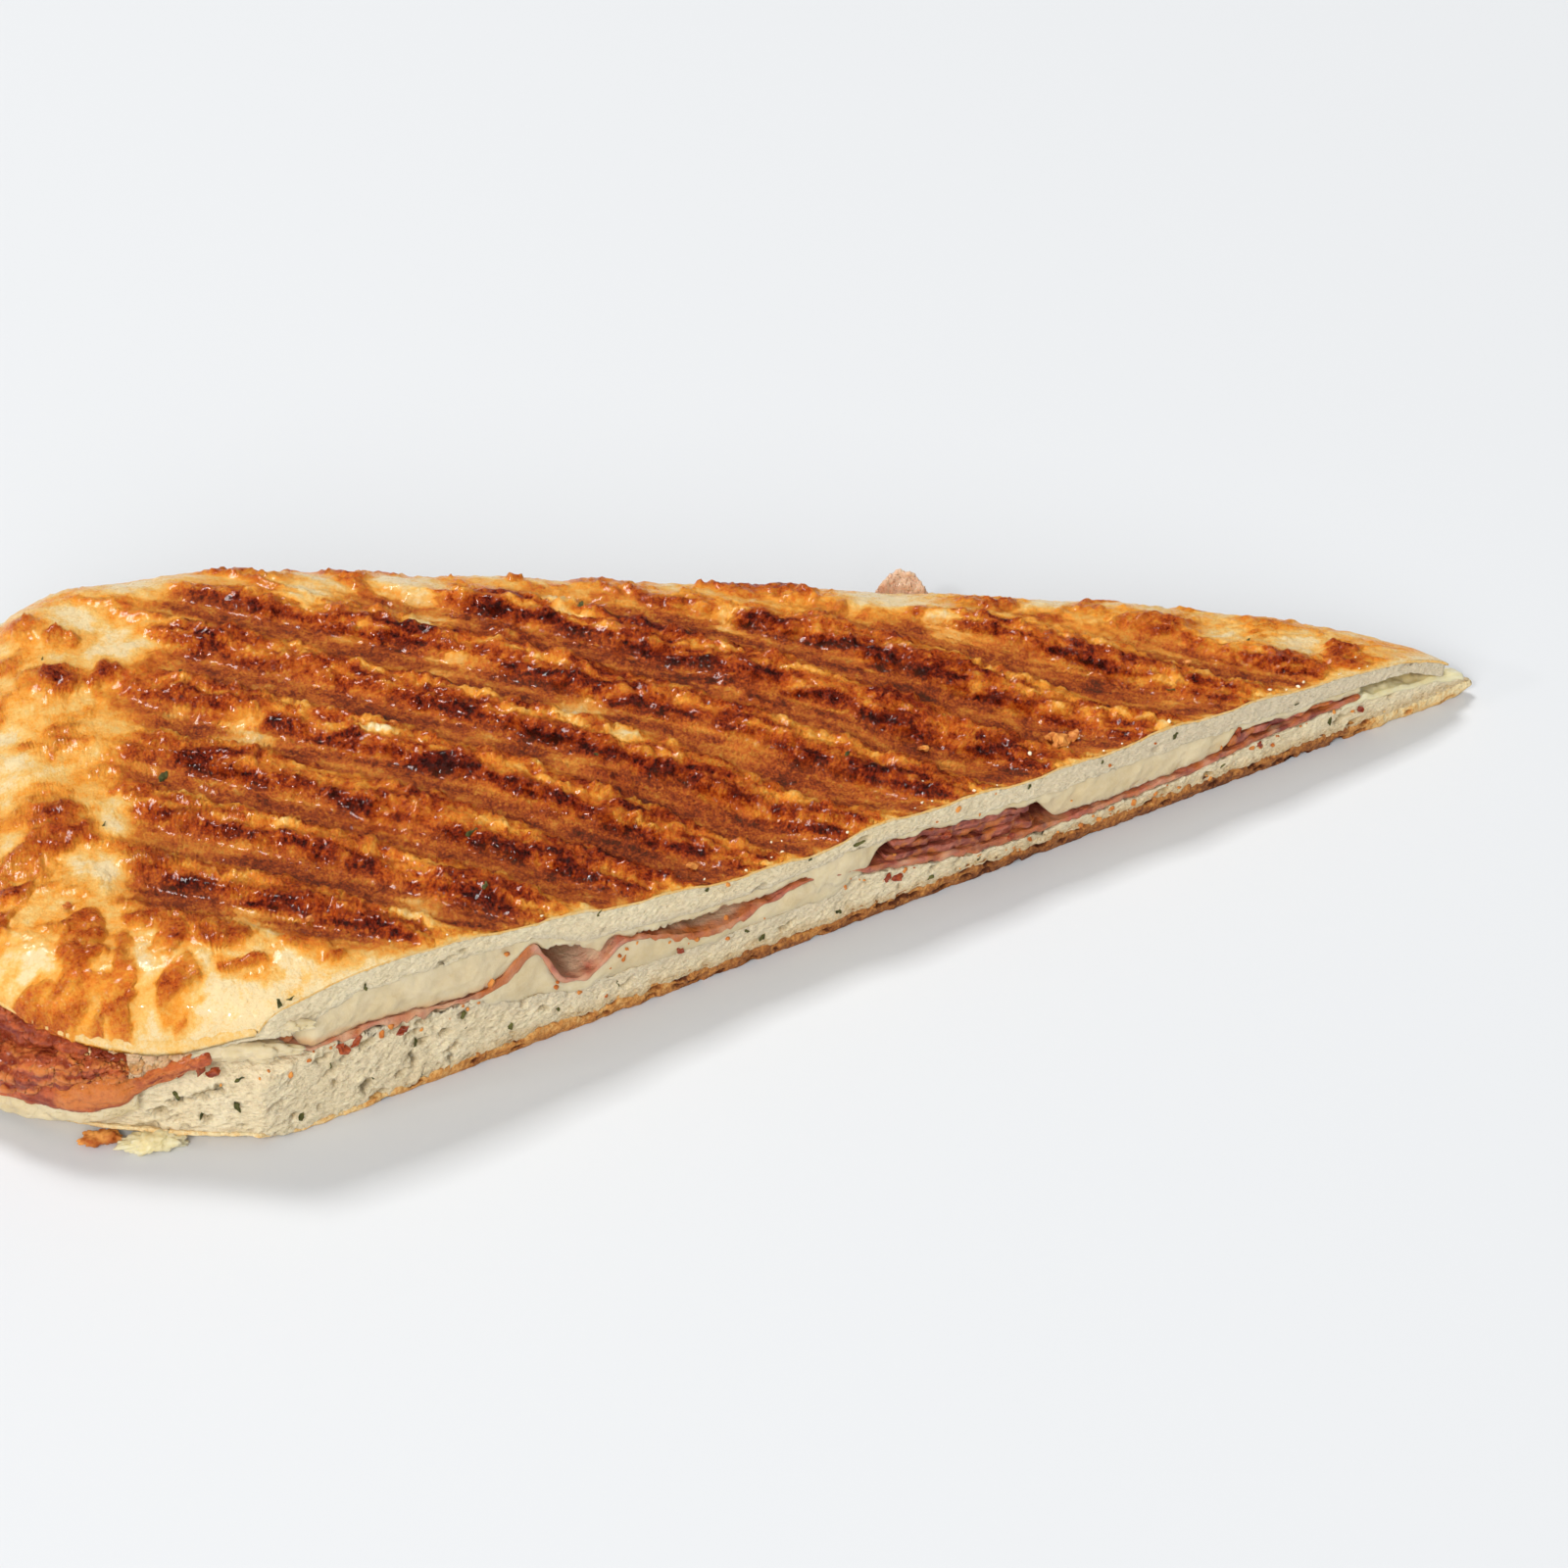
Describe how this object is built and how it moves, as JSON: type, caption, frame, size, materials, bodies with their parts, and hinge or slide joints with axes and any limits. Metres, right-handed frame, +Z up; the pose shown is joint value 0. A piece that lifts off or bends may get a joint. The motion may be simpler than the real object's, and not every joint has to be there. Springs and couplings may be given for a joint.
{
  "type": "pressed grilled cheese sandwich half",
  "caption": "Long diagonal half of a pressed, griddled flatbread sandwich with melted cheese and thin cured ham, lying flat with its knife cut showing.",
  "frame": {"origin": "Under the middle of the sandwich half, in the plane of its flat foot.", "axes": "+X along the long uncut edge, towards the sharp tip; +Y from the knife cut to the long uncut edge; +Z up, from the foot to the ribbed crust."},
  "size_m": [0.2079, 0.1055, 0.0246],
  "materials": {
    "crust": "griddled crust, satin",
    "bread": "open crumb, matte",
    "cheese": "melted cheese, soft gloss",
    "ham": "cured ham, moist gloss",
    "ham_fat": "cooked ham fat, gloss"
  },
  "bodies": {
    "root": {"top_bread": "crust", "bottom_bread": "bread", "cheese_upper": "cheese", "cheese_lower": "cheese", "cheese_tip": "cheese", "cheese_far_corner": "cheese", "cheese_drip": "cheese", "cheese_crumb": "cheese", "ham_slice": "ham", "ham_upper": "ham", "ham_fold_low": "ham", "ham_fold_mid": "ham", "ham_fold_high": "ham", "ham_wedge": "ham", "ham_flap_outer": "ham", "ham_flap_inner": "ham", "ham_far_corner": "ham", "ham_back_tip": "ham", "fat_scrap": "ham_fat"}
  },
  "joints": []
}
